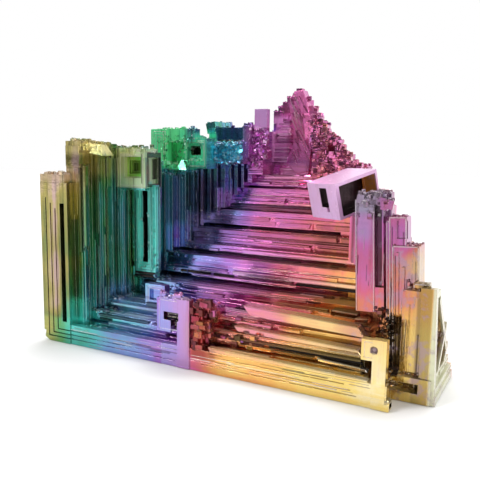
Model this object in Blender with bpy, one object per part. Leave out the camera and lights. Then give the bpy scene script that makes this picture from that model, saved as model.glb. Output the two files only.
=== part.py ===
# Bismuth hopper crystal: one body of stepped, hollow-faced bismuth, cut flat underneath.
# Lengths are in millimetres, measured from the front left corner of the base:
# x to the right along the front, y back into the crystal, z up. place() turns them into metres.

import math
import random

import bmesh
import bpy
from mathutils import Euler, Matrix, Vector

MM = 0.001

# Driving dimensions
WIDTH = 75.0  # over the front cells and the side cell
DEPTH = 50.0
HEIGHT = 51.5  # to the tip
FRONT_WIDTH = 69.0  # the two front cells together
RIM_HEIGHT = 3.8
RIM_DEPTH = 1.7
LEG_WIDTH = 6.9  # the left leg of the front frame
LEG_HEIGHT = 33.0
COLUMN_LEAN = -2.8  # degrees, the right columns lean towards the tip
WEB = 0.9  # how deep each growth reaches into its neighbour
FINEST = 0.012  # edges shorter than this are closed up
FLAT_ANGLE = math.radians(0.05)
GROWTH_SEED = 83

# Floor of the hollow: where each step rises, how high its top is and how wide the gap under it
STEPS = [
    # depth, top, gap
    (3.9, 6.2, 0.7),
    (7.2, 8.2, 0.0),
    (13.8, 11.6, 0.0),
    (18.6, 16.6, 1.1),
    (22.4, 18.5, 0.7),
    (25.2, 21.4, 0.0),
    (27.8, 25.1, 0.9),
    (30.3, 27.3, 0.6),
    (32.4, 29.8, 0.0),
    (34.4, 32.5, 0.6),
    (36.7, 35.2, 0.0),
]
# Where the inner corners of the hollow stand at each depth
INNER_DEPTHS = [0.0, 13.0, 17.0, 20.0, 26.0, 30.0, 34.0, 38.0]
INNER_LEFT = [6.9, 11.3, 12.1, 13.9, 17.7, 19.1, 21.8, 24.7]
INNER_RIGHT = [67.3, 61.2, 59.1, 57.5, 54.3, 52.0, 48.0, 43.3]
STEP_RIGHT = [65.6, 61.8, 61.4, 60.6, 58.6, 56.8, 55.0, 53.0]

dice = random.Random(GROWTH_SEED)


def clearScene():
    for thing in list(bpy.data.objects):
        bpy.data.objects.remove(thing, do_unlink=True)


def newCollection(name):
    collection = bpy.data.collections.new(name)
    bpy.context.scene.collection.children.link(collection)
    return collection


def place(point):
    """Millimetres from the front left corner become metres from the middle of the base."""
    return Vector((point[0] - WIDTH / 2, point[1] - DEPTH / 2, point[2])) * MM


def at(depth, values):
    """The value at a depth, on straight lines between those at INNER_DEPTHS."""
    if depth <= INNER_DEPTHS[0]:
        return values[0]
    for index in range(1, len(INNER_DEPTHS)):
        near, far = INNER_DEPTHS[index - 1], INNER_DEPTHS[index]
        if depth <= far:
            share = (depth - near) / (far - near)
            return values[index - 1] + share * (values[index] - values[index - 1])
    return values[-1]


def addHelper(name, mesh, collection):
    """A growth or a cutter: it only feeds the Booleans of the crystal."""
    helper = bpy.data.objects.new(name, mesh)
    helper.display_type = "WIRE"
    helper.hide_render = True
    collection.objects.link(helper)
    return helper


def addBlock(name, low, high, collection, turn=(0, 0, 0), taper=1.0):
    """A box from its low to its high corner, turned about its centre by degrees, with its top narrowed."""
    size = Vector(high) - Vector(low)
    centre = place([(a + b) / 2 for a, b in zip(low, high)])
    shape = bmesh.new()
    bmesh.ops.create_cube(shape, size=1.0)
    for corner in shape.verts:
        if corner.co.z > 0:
            corner.co.x *= taper
            corner.co.y *= taper
    bmesh.ops.scale(shape, vec=size * MM, verts=shape.verts)
    angles = Euler([math.radians(angle) for angle in turn])
    turned = Matrix.Translation(centre) @ angles.to_matrix().to_4x4()
    bmesh.ops.transform(shape, matrix=turned, verts=shape.verts)
    mesh = bpy.data.meshes.new(name)
    shape.to_mesh(mesh)
    shape.free()
    return addHelper(name, mesh, collection)


def addDimple(name, centre, radius, deep):
    """A shallow round hollow in a face that looks to the front."""
    shape = bmesh.new()
    bmesh.ops.create_cone(
        shape, cap_ends=True, segments=12, radius1=radius * MM, radius2=0.3 * radius * MM, depth=2 * deep * MM
    )
    # the wide end looks out of the face
    turned = Matrix.Translation(place(centre)) @ Euler((math.radians(-90), 0, 0)).to_matrix().to_4x4()
    bmesh.ops.transform(shape, matrix=turned, verts=shape.verts)
    mesh = bpy.data.meshes.new(name)
    shape.to_mesh(mesh)
    shape.free()
    return addHelper(name, mesh, cutters)


def grow(name, low, high, turn=(0, 0, 0), loose=0.10, taper=1.0):
    """One growth of the crystal. Its faces wander a little, as no two grow to quite the same plane."""
    low = [value + dice.uniform(-loose, loose) for value in low]
    high = [value + dice.uniform(-loose, loose) for value in high]
    return addBlock(name, low, high, growths, turn, taper)


def cut(name, low, high, turn=(0, 0, 0)):
    return addBlock(name, low, high, cutters, turn)


def stepFloor():
    """The floor of the hollow rises to the back in steps, each a ledge with a gap under it."""
    before = RIM_HEIGHT
    for index, (depth, top, gap) in enumerate(STEPS):
        left = 6.0 + 0.28 * depth
        right = at(depth, STEP_RIGHT)
        reach = 9.0 if depth < 10 else DEPTH - 4.5 - 0.5 * index - depth
        grow(f"step_{index}", (left, depth, -2), (right, depth + reach, top), loose=0.05)
        ledgeLeft = at(depth, INNER_LEFT)
        ledgeRight = min(at(depth, INNER_RIGHT), right)
        span = ledgeRight - ledgeLeft
        height = top - before
        # broken lips: part-length terraces in front of the step, at four heights
        for part, share in enumerate((0.28, 0.5, 0.7, 0.87)):
            start = ledgeLeft + span * dice.uniform(0.0, 0.45)
            end = start + span * dice.uniform(0.2, 0.55)
            level = before + height * share
            proud = dice.uniform(0.9, 1.15) * (0.95 - 0.85 * share)
            low = (start, depth - proud, before - WEB)
            high = (min(end, ledgeRight - 1.2), depth + WEB, level)
            grow(f"lip_{index}_{part}", low, high, loose=0.05)
        if gap:
            low = (ledgeLeft + 0.6, depth - 1.6, before + 0.12)
            cut(f"gap_{index}", low, (ledgeRight - 1.6, depth + 1.9, before + 0.12 + gap))
        before = top


def frontRim():
    """The frame round both front cells: a low bar with nested growth lines, and the tall left leg."""
    grow("rim", (0.6, 0.2, -2), (FRONT_WIDTH, RIM_DEPTH, RIM_HEIGHT), loose=0)
    grow("rim_root", (1.2, 1.2, -2), (65.2, 4.8, RIM_HEIGHT - 0.6), loose=0.03)
    grow("rim_floor", (6.0, 4.0, -2), (62.0, 9.0, RIM_HEIGHT - 0.9), loose=0.03)
    addBlock("leg", (0.0, 0.0, -2), (LEG_WIDTH, 2.2, LEG_HEIGHT - 1.6), growths)
    grow("leg_cap", (0.0, 0.1, LEG_HEIGHT - 3.2), (6.3, 2.0, LEG_HEIGHT), loose=0)
    grow("leg_knob", (0.15, 0.05, LEG_HEIGHT - 3.8), (3.4, 1.0, LEG_HEIGHT - 0.5), turn=(0, 4, 0), loose=0)
    cut("leg_slot", (5.0, -1.0, RIM_HEIGHT + 0.5), (6.15, 1.5, 27.5))
    for line in range(3):
        # growth lines: upright on the leg, turning along the rim
        across = 1.25 + 1.2 * line
        cut(f"leg_line_{line}", (across, -0.5, 1.1 + 0.75 * line), (across + 0.3, 0.4, 28.5 - line))
        level = 0.95 + 0.8 * line
        cut(f"rim_line_{line}", (across, -0.5, level), (31.5 - 2.5 * line, 0.45, level + 0.25))
        cut(f"rim_line_right_{line}", (37.0 + 2 * line, -0.5, level + 0.3), (64.5 - line, 0.42, level + 0.5))
    # the outer lower corner is rounded off in two facets
    cut("corner_low", (-2.0, -1.0, -1.0), (1.2, 3.2, 0.9), turn=(0, 30, 0))
    cut("corner_high", (-2.1, -1.0, -0.5), (0.25, 3.2, 2.2), turn=(0, 12, 0))


def leftWall():
    """Upright plates, one behind the other, each a little further in than the last."""
    plates = [
        # front, outer side, top
        (2.0, 5.1, 39.3),
        (5.2, 5.9, 38.9),
        (9.8, 6.3, 38.2),
        (14.3, 6.8, 36.6),
        (18.4, 7.4, 35.2),
        (21.2, 8.2, 35.0),
        (24.0, 9.0, 34.8),
        (27.0, 10.0, 35.0),
        (30.0, 11.2, 35.6),
        (33.0, 12.6, 36.4),
    ]
    for index, (front, outer, top) in enumerate(plates):
        back = plates[index + 1][0] if index + 1 < len(plates) else 37.0
        inner = at(back, INNER_LEFT) + 0.1
        grow(f"plate_{index}", (outer, front, -2), (inner, back + WEB, top), loose=0.06)
        # flutes down the inner side
        flutes = 3 if front < 14 else 2
        pitch = (back - front) / flutes
        for flute in range(flutes):
            start = front + pitch * flute + 0.25 * pitch
            deep = dice.uniform(0.3, 0.75)
            grow(
                f"flute_{index}_{flute}",
                (inner - 1.2, start, 2.0),
                (inner + deep, start + pitch * dice.uniform(0.35, 0.6), top - dice.uniform(0.4, 3.0)),
                loose=0.04,
            )
        # the outer side steps too
        grow(
            f"outer_{index}",
            (outer - 0.7, front + 0.9, -2),
            (outer + 1.5, back - 0.3, top * dice.uniform(0.6, 0.85)),
            loose=0.08,
        )
    grow("tab_lip", (5.3, 1.6, 34.6), (8.6, 3.0, 38.4), loose=0.05)
    grow("facet_top", (7.0, 3.4, 37.0), (12.2, 7.6, 38.9), turn=(0, 9, 12), taper=0.5)
    cut("tab_pit", (8.2, 1.8, 35.0), (9.6, 4.6, 37.6))


def pitCube():
    """A cube with a hopper pit, and below it a hanging plate with a long slot."""
    grow("pit_cube", (10.9, 10.0, 30.0), (17.7, 15.4, 37.4), loose=0)
    grow("pit_cube_cap", (11.6, 10.8, 37.0), (17.0, 15.0, 38.1), loose=0.05)
    for ring, (inset, deep) in enumerate(((0.8, 0.7), (1.5, 1.4), (2.1, 2.2))):
        cut(f"pit_ring_{ring}", (11.9 + inset, 9.0, 31.6 + inset), (17.7 - inset, 10.0 + deep, 37.4 - inset))
    cut("pit_side", (16.9, 11.2, 31.2), (18.5, 14.2, 36.4))
    grow("slot_plate", (13.4, 12.0, 12.6), (18.8, 13.2, 31.0), loose=0)
    grow("slot_plate_root", (10.5, 12.9, 14.0), (17.0, 15.6, 30.5), loose=0.05)
    grow("slot_band", (13.3, 11.7, 12.5), (18.9, 12.6, 14.4), loose=0)
    cut("slot", (15.3, 11.0, 15.4), (16.6, 15.5, 29.8))
    cut("slot_outline", (14.7, 11.0, 14.9), (17.2, 12.3, 30.4))
    for index in range(5):
        # narrow ribs stepping back between the slotted plate and the capped column
        x = 13.2 + 0.9 * index
        y = 14.8 + 1.6 * index
        high = (x + dice.uniform(1.2, 1.7), y + 2.0, 33.5 - 0.3 * index)
        grow(f"fin_{index}", (x, y, 10.0), high, loose=0.08)


def leftCrown():
    """The hooked plates along the top of the left wall."""
    grow("hook_plate_bar", (10.2, 22.2, 39.7), (21.3, 24.2, 42.4), loose=0.03)
    grow("hook_plate_leg", (10.2, 22.1, 34.0), (14.4, 24.3, 42.2), loose=0.03)
    grow("hook_plate_back", (11.0, 24.9, 33.0), (19.6, 28.4, 41.2), loose=0.05)
    grow("holed_block", (18.3, 22.8, 34.2), (23.8, 30.4, 40.4), loose=0)
    cut("holed_block_hole", (20.2, 21.0, 37.1), (22.0, 26.0, 38.6))
    cut("holed_block_ring", (19.3, 21.6, 36.1), (22.9, 23.4, 39.5))
    grow("capped_column", (16.3, 22.4, 12.0), (18.9, 26.4, 34.2), loose=0.05)
    grow("column_cap", (16.2, 22.3, 33.8), (19.1, 25.2, 35.9), taper=0.3)
    pyramids = [
        # x, y, z of the foot, side
        (12.9, 18.0, 34.7, 1.9),
        (14.6, 18.6, 35.8, 1.6),
        (8.4, 12.0, 37.9, 2.0),
        (10.0, 16.4, 36.2, 2.2),
    ]
    for index, (x, y, z, side) in enumerate(pyramids):
        half = side / 2
        grow(f"pyramid_{index}", (x - half, y - half, z - 0.8), (x + half, y + half, z + half), taper=0.15)
    # the open cup with its flared lip
    grow("cup", (21.6, 27.4, 36.6), (31.2, 36.0, 43.2), loose=0)
    grow("cup_lip_left", (21.0, 27.2, 41.6), (23.2, 35.0, 44.0), turn=(0, -12, 0))
    grow("cup_lip_right", (29.6, 27.8, 40.4), (31.4, 35.4, 43.6), turn=(0, 10, 0))
    cut("cup_hollow", (23.3, 26.0, 39.9), (29.8, 34.4, 46.0))
    grow("cup_block", (21.8, 26.0, 35.3), (30.6, 31.0, 39.6), loose=0.02)
    cut("cup_block_pit", (24.4, 25.0, 36.2), (29.2, 26.9, 38.9))
    for index in range(9):
        x = 24.6 + 4.4 * dice.random()
        z = 36.2 + 2.2 * dice.random()
        side = dice.uniform(0.7, 1.3)
        turn = (20 * dice.random(), 25, 30)
        grow(f"cup_bead_{index}", (x, 26.1, z), (x + side, 28.0, z + side), turn=turn, loose=0)
    for index in range(9):
        # narrow ribs hang under the cup, stepping back and up to the right
        x = 19.2 + 1.25 * index
        y = 25.0 + 0.75 * index
        low = 20.5 + 1.35 * index
        grow(f"rib_{index}", (x, y, low), (x + dice.uniform(0.7, 1.0), y + 3.5, 36.4), loose=0.12)


def tip():
    """The tapered peak at the deepest point, its bars on the left and the crumbling stair on the right."""
    grow("peak_root", (34.9, 35.4, 30.0), (46.4, 43.5, 34.6), loose=0.03)
    for index in range(5):
        # folds that run from the tip down to the right, each a little proud of the one before
        left = 33.0 + 1.5 * index
        front = 35.6 - 0.35 * index
        high = (43.8, 42.4, 50.0 - 2.6 * index)
        grow(f"peak_fold_{index}", (left, front, 31.0), high, turn=(-3, -7.5, 0), loose=0.03, taper=0.26)
    grow("peak_heart", (35.8, 36.8, 31.0), (42.4, 42.0, 43.6), loose=0.02)
    grow("peak_high", (35.9, 37.2, 43.6), (39.4, 41.2, 49.6), loose=0.02, taper=0.6)
    addBlock("peak_tip", (36.8, 38.0, 47.0), (38.4, 40.0, HEIGHT), growths, taper=0.8)
    for index in range(6):
        level = 36.9 + 1.6 * index
        left = 31.2 + 0.5 * index + dice.uniform(-0.4, 0.4)
        front = 35.2 + 0.35 * index
        grow(f"bar_{index}", (left, front, level), (38.0, 40.0, level + 0.85), loose=0.05)
    for index in range(4):
        # the shoulder of the peak climbs from the bars to the tip
        x = 32.4 + 1.05 * index
        high = (x + 2.4, 39.6, 46.6 + 1.0 * index)
        grow(f"shoulder_{index}", (x, 36.6, 44.0 + 0.9 * index), high, loose=0.08)
    grow("bar_root", (32.6, 37.4, 33.0), (38.0, 41.0, 45.2), loose=0.05)
    grow("lavender_tab", (31.7, 29.0, 39.2), (34.5, 30.4, 46.6), loose=0.04)
    grow("tab_root", (30.2, 29.4, 33.2), (33.6, 37.0, 42.0), loose=0.1)
    for index in range(10):
        x = 30.8 + 3.6 * dice.random()
        z = 36.2 + 4.8 * dice.random()
        side = dice.uniform(1.0, 1.8)
        turn = [dice.uniform(-25, 25) for _ in range(3)]
        grow(f"cluster_{index}", (x, 28.4 + dice.random(), z), (x + side, 30.8, z + side), turn=turn, loose=0)
    crumble()


def crumble():
    """Small blocks tumbling from the tip down to the turned block, in two rows."""
    count = 15
    for index in range(count):
        share = index / (count - 1)
        x = 39.3 + 14.8 * share
        top = 49.0 - 13.4 * share**0.86
        y = 37.8 - 10.5 * share
        side = dice.uniform(1.5, 2.3)
        turn = (dice.uniform(-7, 7), dice.uniform(-7, 7), dice.uniform(-12, 12))
        high = (x + side / 2, y + side * 1.2, top)
        grow(f"crumb_{index}", (x - side / 2, y, top - 3.2), high, turn=turn, loose=0.1)
        grow(
            f"crumb_front_{index}",
            (x - side * 0.8, y - 0.9, top - 4.6),
            (x + side * 0.3, y + 1.6, top - 1.4),
            turn=[-angle for angle in turn],
            loose=0.15,
        )
    for index in range(6):
        # the ledge stack behind the turned block
        level = 33.0 + 1.45 * index
        low = (46.4 - 0.2 * index, 27.6 + 1.0 * index, level - 1.2)
        grow(f"stack_{index}", low, (53.4 - 1.15 * index, 36.5, level + 0.6), loose=0.18)
    grow("stack_root", (44.0, 31.0, 28.0), (53.2, 38.5, 34.9), loose=0.05)
    grow("stack_back", (40.0, 35.5, 34.0), (47.0, 41.0, 39.6), loose=0.05)
    cut("stack_hole", (47.2, 27.0, 37.4), (49.2, 33.2, 39.6))


def turnedBlock():
    """A hollow block that grew at its own angle on the right of the hollow."""
    turn = (14.9, -0.3, -27.7)
    centre = Vector((56.0, 16.2, 30.8))
    axes = Euler([math.radians(angle) for angle in turn]).to_matrix()

    def inBlock(offset, half):
        middle = centre + axes @ Vector(offset)
        return [m - h for m, h in zip(middle, half)], [m + h for m, h in zip(middle, half)]

    addBlock("turned_block", *inBlock((0, 0, 0), (3.5, 4.9, 3.1)), growths, turn)
    cut("turned_slot", *inBlock((0.3, -4.2, 0.6), (0.9, 2.2, 1.7)), turn)
    cut("turned_notch", *inBlock((0.9, -4.6, -1.0), (0.35, 1.2, 0.9)), turn)
    cut("turned_mouth", *inBlock((3.0, 0.2, -0.1), (2.4, 4.3, 2.6)), turn)
    grow("turned_root", (57.2, 17.0, 22.0), (62.0, 23.0, 31.4), loose=0.05)
    for index in range(3):
        x = 57.4 + 0.8 * index
        grow(f"turned_rib_{index}", (x, 15.8 - 1.1 * index, 19.0), (x + 0.7, 19.0, 30.4), loose=0.05)


def rightColumns():
    """Tall plates on the right, shorter the nearer they stand."""
    columns = [
        # name, left, right, front, back, bottom, top
        ("pink_column", 60.4, 63.6, 10.0, 14.5, 12.0, 30.3),
        ("pink_column_foot", 61.6, 65.4, 10.1, 14.5, 12.1, 16.2),
        ("groove_column", 63.0, 64.8, 10.9, 15.5, 13.0, 29.8),
        ("grey_block", 61.7, 65.1, 12.2, 15.5, 24.0, 31.4),
        ("purple_plate", 65.5, 68.4, 10.2, 15.0, 11.0, 27.2),
        ("tall_plate", 66.5, 69.3, 8.9, 11.6, 2.0, 28.0),
        ("wide_plate", 67.2, 71.4, 8.5, 12.5, 1.5, 23.6),
        ("edge_plate", 71.0, 73.4, 6.9, 8.6, 1.0, 18.3),
    ]
    for name, left, right, front, back, bottom, top in columns:
        grow(name, (left, front, bottom), (right, back, top), turn=(0, COLUMN_LEAN, 0), loose=0)
    for index in range(4):
        x = 67.9 + 0.95 * index
        high = (x + 0.42, 9.2, 22.5 - 2.2 * index)
        grow(f"column_rib_{index}", (x, 8.15, 2.5), high, turn=(0, COLUMN_LEAN, 0), loose=0.03)
    cut("dark_slot", (64.5, 10.5, 26.6), (65.2, 13.5, 31.4))
    cut("purple_window", (67.2, 8.3, 24.6), (68.9, 9.5, 27.4), turn=(0, COLUMN_LEAN, 0))
    for index in range(7):
        x = 60.0 + 5.0 * dice.random()
        z = 29.2 + 1.8 * dice.random()
        side = dice.uniform(0.9, 1.5)
        turn = (0, 10, 20 * dice.random())
        grow(f"column_crumb_{index}", (x, 9.8, z - 0.6), (x + side, 13.0, z + side * 0.6), turn=turn)
    # what stands behind the columns, stepping down to the right
    for index in range(7):
        front = 14.0 + 3.0 * index
        right = 66.4 - 2.0 * index
        grow(
            f"right_wall_{index}",
            (at(front, INNER_RIGHT) - 0.2, front, -2),
            (right - 0.6, front + 3.0 + WEB, 27.4 + 1.2 * index),
            loose=0.1,
        )
        high = (69.6 - 0.75 * index, front + 2.9, 16.5 - 1.0 * index)
        grow(f"right_outer_{index}", (right - 1.5, front + 0.5, -2), high, loose=0.1)
    grow("right_foot", (61.0, 12.2, -2), (71.0, 18.0, 12.2), loose=0.05)


def sideCell():
    """The third, smaller cell on the right, with its open side face and slanting bars."""
    front, back, right = 5.6, 20.4, WIDTH - 0.4
    grow("side_base", (66.4, 5.3, -2), (right - 0.3, back - 0.4, 3.9), loose=0)
    cut("side_cell", (67.5, 4.0, 1.5), (72.4, 7.4, 3.0))
    cut("side_cell_left", (65.0, 4.0, 2.0), (68.2, 7.9, 5.0))
    addBlock("side_foot", (71.0, front, -2), (WIDTH, back, 1.2), growths)
    grow("side_post", (72.3, front, -2), (right, 6.9, 17.9), turn=(0, -1.5, 0), loose=0)
    # the side face: a sill and a lintel frame a hollow that narrows to the back
    profile = ((6.6, 16.9), (8.6, 16.2), (10.4, 14.6), (12.4, 12.6), (14.6, 10.2), (17.0, 7.2))
    for index, (start, top) in enumerate(profile):
        grow(f"side_step_{index}", (69.2, start, -2), (right - 1.4, start + 3.0, top), loose=0.08)
    grow("side_lintel", (69.8, front + 0.1, 16.3), (right - 0.3, 9.6, 17.3), loose=0.02)
    grow("side_edge", (71.6, 7.0, 10.2), (right - 0.35, 20.2, 11.2), turn=(-51, 0, 0), loose=0.02)
    for index, (middle, level, half) in enumerate(((13.0, 6.0, 5.6), (16.2, 3.4, 3.9))):
        low = (71.6, middle - half, level - 0.5)
        grow(f"side_bar_{index}", low, (right - 0.3, middle + half, level + 0.5), turn=(48, 0, 0), loose=0.02)
    addBlock("side_sill", (70.0, front + 0.4, -2), (right + 0.2, back - 0.2, 2.4), growths)
    for index in range(8):
        y = 8.2 + 6.0 * dice.random()
        z = 3.4 + 10.5 * dice.random() * (1 - (y - 8.2) / 12)
        side = dice.uniform(0.7, 1.4)
        turn = (20 * dice.random(), 0, 0)
        grow(f"side_crumb_{index}", (71.8, y, z), (right - 0.95, y + side, z + side), turn=turn, loose=0.05)


def hooks():
    """Flat plates in the front plane that end in hooks."""
    grow("hook_leg", (32.1, 0.0, -2), (34.6, 1.4, 12.2), loose=0)
    grow("hook_head", (27.8, 0.05, 6.1), (34.3, 1.35, 12.1), loose=0)
    cut("hook_hole", (29.2, -1.0, 8.2), (32.4, 2.6, 9.7))
    cut("hook_hole_low", (30.7, -1.0, 5.0), (32.1, 2.6, 9.0))
    grow("hook_inner", (31.9, 0.9, 3.0), (33.1, 2.2, 7.6), loose=0.05)
    for index in range(5):
        x = 28.0 + 3.4 * dice.random()
        side = dice.uniform(0.6, 1.1)
        turn = (0, 12, 25 * dice.random())
        grow(f"hook_crumb_{index}", (x, 0.3, 11.7), (x + side, 1.5, 12.3 + side * 0.7), turn=turn)
    grow("divider", (33.8, 0.9, -2), (36.7, 5.2, 11.0), loose=0.05)
    grow("divider_back", (33.4, 4.4, -2), (36.2, 9.6, 9.7), loose=0.05)
    for index in range(9):
        # rough little blocks down the side of the divider
        z = 1.6 + 1.15 * index
        y = 0.8 + 3.0 * dice.random()
        side = dice.uniform(0.9, 1.6)
        turn = (0, 0, 20 * dice.random())
        grow(f"divider_crumb_{index}", (35.4, y, z), (36.9 + side * 0.7, y + side, z + side), turn=turn)
    grow("round_plate", (19.6, 7.4, 7.0), (24.2, 9.0, 12.3), loose=0.03)
    cut("round_plate_pit", (20.7, 6.6, 9.2), (23.1, 8.0, 11.4))
    grow("right_hook_leg", (66.7, 0.0, -2), (68.8, 1.4, 10.6), loose=0)
    grow("right_hook_head", (65.0, 0.05, 7.3), (68.7, 1.35, 10.5), loose=0)
    grow("right_hook_web", (66.9, 1.0, -2), (68.4, 6.2, 3.4), loose=0.03)
    addDimple("right_hook_dimple", (66.9, 0.0, 9.0), 1.0, 0.35)
    grow("base_knob", (67.8, 0.0, -2), (69.5, 1.6, 1.1), loose=0)


def backSteps():
    """Behind the tip the crystal falls away in wide steps to the base, round a second, shallower hollow."""
    levels = [
        # left, right, back, top
        (9.4, 63.4, DEPTH, 6.0),
        (10.4, 63.0, 49.2, 10.4),
        (11.6, 62.4, 48.5, 14.8),
        (13.0, 61.6, 47.8, 19.0),
        (14.6, 60.2, 47.1, 23.0),
        (16.6, 57.8, 46.4, 26.8),
        (19.0, 55.2, 45.6, 30.4),
        (21.8, 52.2, 44.8, 34.0),
        (25.0, 48.8, 44.0, 37.6),
        (28.2, 45.6, 43.4, 41.0),
        (31.4, 42.4, 42.8, 44.2),
    ]
    for index, (left, right, back, top) in enumerate(levels):
        loose = 0 if index == 0 else 0.08
        grow(f"back_{index}", (left, 38.8, -2), (right, back, top), loose=loose)
        if index == 0:
            continue
        middle = left + (right - left) * dice.choice((0.22, 0.78))
        reach = (right - left) * dice.uniform(0.1, 0.16)
        low = (middle - reach, 42.0, -2)
        grow(f"back_panel_{index}", low, (middle + reach, back + 0.4, top - 1.2), loose=0.05)
        side = (back - 2.2, top - 1.5)
        grow(f"back_left_{index}", (left - 0.6, 39.5, -2), (left + 2, *side), loose=0.08)
        grow(f"back_right_{index}", (right - 2, 39.5, -2), (right + 0.5, *side), loose=0.08)
    for ring in range(6):
        inset = 2.3 * ring
        cut(
            f"back_ring_{ring}",
            (22.0 + inset, DEPTH - 2.6 - 1.35 * ring, 2.6 + 0.9 * inset),
            (51.0 - inset, DEPTH + 2.0, 31.0 - 0.75 * inset),
        )


def bismuth():
    material = bpy.data.materials.new("bismuth_oxide_film")
    material.use_nodes = True
    surface = material.node_tree.nodes["Principled BSDF"]
    surface.inputs["Base Color"].default_value = (0.55, 0.20, 0.42, 1)
    surface.inputs["Metallic"].default_value = 1.0
    surface.inputs["Roughness"].default_value = 0.28
    return material


def addBoolean(crystal, name, operation, collection):
    boolean = crystal.modifiers.new(name, "BOOLEAN")
    boolean.operation = operation
    boolean.solver = "EXACT"
    boolean.operand_type = "COLLECTION"
    boolean.collection = collection


def shells(shape):
    """The faces in groups, each group one closed shell."""
    left = set(shape.faces)
    found = []
    while left:
        shell = [left.pop()]
        for face in shell:
            for edge in face.edges:
                for beside in edge.link_faces:
                    if beside in left:
                        left.remove(beside)
                        shell.append(beside)
        found.append(shell)
    return found


def bake(crystal):
    """Settle the Booleans into one closed mesh, without specks and slivers finer than FINEST."""
    graph = bpy.context.evaluated_depsgraph_get()
    mesh = bpy.data.meshes.new_from_object(crystal.evaluated_get(graph))
    shape = bmesh.new()
    shape.from_mesh(mesh)
    bmesh.ops.remove_doubles(shape, verts=shape.verts, dist=FINEST * MM)
    bmesh.ops.dissolve_degenerate(shape, edges=shape.edges, dist=FINEST * MM)
    bmesh.ops.dissolve_limit(shape, angle_limit=FLAT_ANGLE, verts=shape.verts, edges=shape.edges)
    bmesh.ops.triangulate(shape, faces=shape.faces, quad_method="BEAUTY", ngon_method="BEAUTY")
    specks = sorted(shells(shape), key=len)[:-1]
    bmesh.ops.delete(shape, geom=[face for speck in specks for face in speck], context="FACES")
    shape.to_mesh(mesh)
    shape.free()
    crystal.modifiers.clear()
    crystal.data = mesh


clearScene()
crystalCollection = newCollection("bismuth_hopper_crystal")
growths = newCollection("growths")
cutters = newCollection("cutters")

crystal = addBlock("bismuth_crystal", (9.2, 21.3, -2.0), (68.7, 44.6, 5.4), crystalCollection)
crystal.display_type = "TEXTURED"
crystal.hide_render = False
crystal.data.materials.append(bismuth())

frontRim()
stepFloor()
leftWall()
pitCube()
leftCrown()
tip()
turnedBlock()
rightColumns()
sideCell()
hooks()
backSteps()
cut("rest_plane", (-20, -20, -20), (WIDTH + 20, DEPTH + 20, 0))

addBoolean(crystal, "grown_together", "UNION", growths)
addBoolean(crystal, "hollows", "DIFFERENCE", cutters)
bake(crystal)
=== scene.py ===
import math
import random

import bmesh
import bpy
import numpy
from mathutils import Euler, Matrix, Vector
from mathutils.bvhtree import BVHTree


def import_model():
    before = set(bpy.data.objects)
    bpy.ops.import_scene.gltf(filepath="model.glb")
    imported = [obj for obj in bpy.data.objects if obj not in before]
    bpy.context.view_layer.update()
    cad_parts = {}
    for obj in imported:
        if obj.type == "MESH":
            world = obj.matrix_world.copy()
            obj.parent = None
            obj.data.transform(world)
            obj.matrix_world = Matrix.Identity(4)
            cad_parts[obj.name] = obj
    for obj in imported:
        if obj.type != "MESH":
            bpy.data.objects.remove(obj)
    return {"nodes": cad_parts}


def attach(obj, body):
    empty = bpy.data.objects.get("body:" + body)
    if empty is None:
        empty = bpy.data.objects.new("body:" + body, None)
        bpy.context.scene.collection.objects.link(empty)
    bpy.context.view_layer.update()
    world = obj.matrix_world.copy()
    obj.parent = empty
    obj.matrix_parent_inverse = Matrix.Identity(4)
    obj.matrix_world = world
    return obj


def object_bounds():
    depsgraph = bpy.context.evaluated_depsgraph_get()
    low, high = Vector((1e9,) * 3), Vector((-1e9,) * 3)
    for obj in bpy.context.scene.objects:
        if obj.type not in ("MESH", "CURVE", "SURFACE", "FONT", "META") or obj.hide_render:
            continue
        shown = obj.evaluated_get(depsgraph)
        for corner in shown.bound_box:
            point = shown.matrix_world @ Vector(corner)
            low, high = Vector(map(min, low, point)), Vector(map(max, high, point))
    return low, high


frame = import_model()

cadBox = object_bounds()
crystalNode = frame["nodes"]["bismuth_crystal"]
mm = 0.001

# Places on the crystal are in millimetres from the front left corner of its base:
# x to the right along the front, y back into the crystal, z up
width, depth, height = (round((high - low) / mm, 1) for low, high in zip(*cadBox))


def toFrame(point):
    return Vector((point[0] - width / 2, point[1] - depth / 2, point[2])) * mm


# the matrix of a turn given in degrees round x, y and z
def turnMatrix(turn):
    return Euler([math.radians(angle) for angle in turn]).to_matrix()


# one output of a shader node; sums written with it become Math nodes
class Wire:
    def __init__(self, graph, socket):
        self.graph = graph
        self.socket = socket

    def math(self, operation, *others):
        return self.graph.node("ShaderNodeMath", {"operation": operation}, [self, *others])

    def __add__(self, other):
        return self.math("ADD", other)

    def __sub__(self, other):
        return self.math("SUBTRACT", other)

    def __mul__(self, other):
        return self.math("MULTIPLY", other)

    def __truediv__(self, other):
        return self.math("DIVIDE", other)

    def __pow__(self, other):
        return self.math("POWER", other)

    def __radd__(self, other):
        return self + other

    def __rmul__(self, other):
        return self * other

    def __rsub__(self, other):
        return self.graph.node("ShaderNodeMath", {"operation": "SUBTRACT"}, [other, self])

    # 0 below the first value, 1 above the second, smooth in between
    def rise(self, low, high):
        inputs = [self, low, high, 0.0, 1.0]
        return self.graph.node("ShaderNodeMapRange", {"interpolation_type": "SMOOTHSTEP"}, inputs)


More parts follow.
